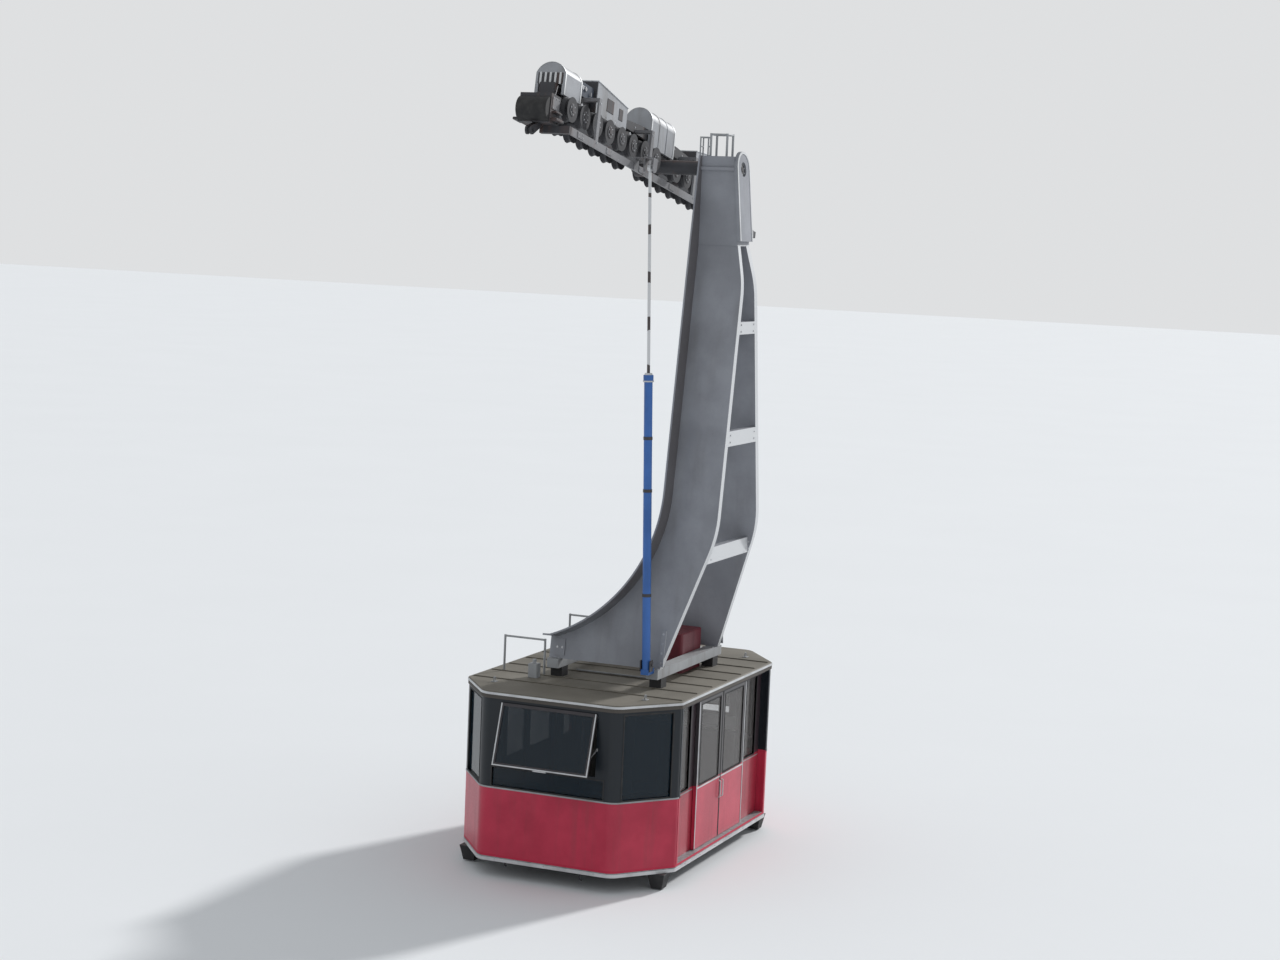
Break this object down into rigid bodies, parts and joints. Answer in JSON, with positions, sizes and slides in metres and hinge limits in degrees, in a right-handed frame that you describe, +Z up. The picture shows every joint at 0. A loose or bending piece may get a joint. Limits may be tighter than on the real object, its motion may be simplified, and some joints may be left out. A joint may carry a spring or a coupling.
{
  "type": "aerial tramway cabin with hanger and carriage",
  "caption": "Octagonal passenger cabin on an offset two-legged hanger under a long rope carriage with wheels, sliding doors and a swing damper.",
  "frame": {"origin": "on the centre line of the two track ropes, midway between them, straight below the main pin", "axes": "+X uphill along the line (level), +Y towards the hanger's side, +Z up"},
  "size_m": [8.1761, 3.385, 11.4373],
  "materials": {
    "hood_paint": "light grey gloss paint",
    "frame_paint": "dark grey paint",
    "keeper_paint": "light grey paint",
    "wheel_metal": "dark machined casting with a lined groove",
    "nose_rubber": "matt black rubber",
    "unit_paint": "blue gloss paint",
    "hanger_paint": "light grey paint",
    "steel": "bright machined steel",
    "rail_paint": "galvanised steel",
    "mount_rubber": "black rubber",
    "cabin_paint": "red gloss paint",
    "door_paint": "red gloss paint",
    "roof_sheet": "weathered ribbed aluminium",
    "floor_sheet": "chequered aluminium",
    "pole_steel": "satin stainless tube",
    "window_glass": "dark tinted acrylic glass"
  },
  "bodies": {
    "carriage": {"centre_hood": "hood_paint", "damper_fork": "keeper_paint", "end_blocks": "frame_paint", "end_hoods": "hood_paint", "end_noses": "nose_rubber", "four_axle_rockers": "frame_paint", "half_beams": "frame_paint", "hydraulic_units": "unit_paint", "keeper_beams": "keeper_paint", "main_beam": "frame_paint", "mid_hoods": "hood_paint", "two_axle_rockers": "frame_paint"},
    "wheel_set_01": {"wheel_set_01": "wheel_metal"},
    "wheel_set_02": {"wheel_set_02": "wheel_metal"},
    "wheel_set_03": {"wheel_set_03": "wheel_metal"},
    "wheel_set_04": {"wheel_set_04": "wheel_metal"},
    "wheel_set_05": {"wheel_set_05": "wheel_metal"},
    "wheel_set_06": {"wheel_set_06": "wheel_metal"},
    "wheel_set_07": {"wheel_set_07": "wheel_metal"},
    "wheel_set_08": {"wheel_set_08": "wheel_metal"},
    "wheel_set_09": {"wheel_set_09": "wheel_metal"},
    "wheel_set_10": {"wheel_set_10": "wheel_metal"},
    "wheel_set_11": {"wheel_set_11": "wheel_metal"},
    "wheel_set_12": {"wheel_set_12": "wheel_metal"},
    "wheel_set_13": {"wheel_set_13": "wheel_metal"},
    "wheel_set_14": {"wheel_set_14": "wheel_metal"},
    "wheel_set_15": {"wheel_set_15": "wheel_metal"},
    "wheel_set_16": {"wheel_set_16": "wheel_metal"},
    "door_right_uphill": {"door_leaf_right_uphill": "door_paint", "door_pane_right_uphill": "window_glass"},
    "door_right_downhill": {"door_leaf_right_downhill": "door_paint", "door_pane_right_downhill": "window_glass"},
    "door_left_uphill": {"door_leaf_left_uphill": "door_paint", "door_pane_left_uphill": "window_glass"},
    "door_left_downhill": {"door_leaf_left_downhill": "door_paint", "door_pane_left_downhill": "window_glass"},
    "damper_rod": {"damper_rod": "steel"},
    "cabin": {"cabin_floor": "floor_sheet", "cabin_glass": "window_glass", "cabin_poles": "pole_steel", "cabin_roof": "roof_sheet", "corner_feet": "mount_rubber", "damper_tube": "unit_paint", "door_tracks": "floor_sheet", "end_shell_downhill": "cabin_paint", "end_shell_uphill": "cabin_paint", "foot_beams": "rail_paint", "hanger_head": "hanger_paint", "hanger_leg_downhill": "hanger_paint", "hanger_leg_uphill": "hanger_paint", "hanger_ties": "hanger_paint", "head_rail": "rail_paint", "main_pin": "steel", "roof_equipment_box": "cabin_paint", "roof_mounts": "mount_rubber", "roof_rails": "rail_paint", "side_wall_left": "cabin_paint", "side_wall_right": "cabin_paint", "vent_frames": "floor_sheet", "vent_panes": "window_glass"}
  },
  "joints": [
    {"name": "cabin_swing", "type": "hinge", "parent": "carriage", "child": "cabin", "pos_m": [0, 0, 0.15], "axis": [0, 1, 0], "range_deg": [-20, 30]},
    {"name": "wheel_set_01_spin", "type": "hinge", "parent": "carriage", "child": "wheel_set_01", "pos_m": [-3.4519, 0, -0.42901], "axis": [0, 1, 0], "continuous": true},
    {"name": "wheel_set_02_spin", "type": "hinge", "parent": "carriage", "child": "wheel_set_02", "pos_m": [-3.01858, 0, -0.3526], "axis": [0, 1, 0], "continuous": true},
    {"name": "wheel_set_03_spin", "type": "hinge", "parent": "carriage", "child": "wheel_set_03", "pos_m": [-2.58527, 0, -0.2762], "axis": [0, 1, 0], "continuous": true},
    {"name": "wheel_set_04_spin", "type": "hinge", "parent": "carriage", "child": "wheel_set_04", "pos_m": [-2.15195, 0, -0.19979], "axis": [0, 1, 0], "continuous": true},
    {"name": "wheel_set_05_spin", "type": "hinge", "parent": "carriage", "child": "wheel_set_05", "pos_m": [-1.71864, 0, -0.12339], "axis": [0, 1, 0], "continuous": true},
    {"name": "wheel_set_06_spin", "type": "hinge", "parent": "carriage", "child": "wheel_set_06", "pos_m": [-1.28532, 0, -0.04698], "axis": [0, 1, 0], "continuous": true},
    {"name": "wheel_set_07_spin", "type": "hinge", "parent": "carriage", "child": "wheel_set_07", "pos_m": [-0.85201, 0, 0.02942], "axis": [0, 1, 0], "continuous": true},
    {"name": "wheel_set_08_spin", "type": "hinge", "parent": "carriage", "child": "wheel_set_08", "pos_m": [-0.41869, 0, 0.10583], "axis": [0, 1, 0], "continuous": true},
    {"name": "wheel_set_09_spin", "type": "hinge", "parent": "carriage", "child": "wheel_set_09", "pos_m": [0.40855, 0, 0.25169], "axis": [0, 1, 0], "continuous": true},
    {"name": "wheel_set_10_spin", "type": "hinge", "parent": "carriage", "child": "wheel_set_10", "pos_m": [0.84186, 0, 0.3281], "axis": [0, 1, 0], "continuous": true},
    {"name": "wheel_set_11_spin", "type": "hinge", "parent": "carriage", "child": "wheel_set_11", "pos_m": [1.27518, 0, 0.4045], "axis": [0, 1, 0], "continuous": true},
    {"name": "wheel_set_12_spin", "type": "hinge", "parent": "carriage", "child": "wheel_set_12", "pos_m": [1.70849, 0, 0.48091], "axis": [0, 1, 0], "continuous": true},
    {"name": "wheel_set_13_spin", "type": "hinge", "parent": "carriage", "child": "wheel_set_13", "pos_m": [2.14181, 0, 0.55731], "axis": [0, 1, 0], "continuous": true},
    {"name": "wheel_set_14_spin", "type": "hinge", "parent": "carriage", "child": "wheel_set_14", "pos_m": [2.57512, 0, 0.63372], "axis": [0, 1, 0], "continuous": true},
    {"name": "wheel_set_15_spin", "type": "hinge", "parent": "carriage", "child": "wheel_set_15", "pos_m": [3.00844, 0, 0.71012], "axis": [0, 1, 0], "continuous": true},
    {"name": "wheel_set_16_spin", "type": "hinge", "parent": "carriage", "child": "wheel_set_16", "pos_m": [3.44176, 0, 0.78653], "axis": [0, 1, 0], "continuous": true},
    {"name": "door_right_uphill_slide", "type": "slide", "parent": "cabin", "child": "door_right_uphill", "axis": [1, 0, 0], "range_m": [0, 0.8]},
    {"name": "door_right_downhill_slide", "type": "slide", "parent": "cabin", "child": "door_right_downhill", "axis": [-1, 0, 0], "range_m": [0, 0.8]},
    {"name": "door_left_uphill_slide", "type": "slide", "parent": "cabin", "child": "door_left_uphill", "axis": [1, 0, 0], "range_m": [0, 0.8]},
    {"name": "door_left_downhill_slide", "type": "slide", "parent": "cabin", "child": "door_left_downhill", "axis": [-1, 0, 0], "range_m": [0, 0.8]},
    {"name": "damper_rod_slide", "type": "slide", "parent": "cabin", "child": "damper_rod", "axis": [0, -0.0377, 0.9993], "range_m": [-0.53, 0.79]}
  ],
  "couplings": [
    {"joint": "damper_rod_slide", "follows": "cabin_swing", "m_per_rad": 1.45}
  ]
}
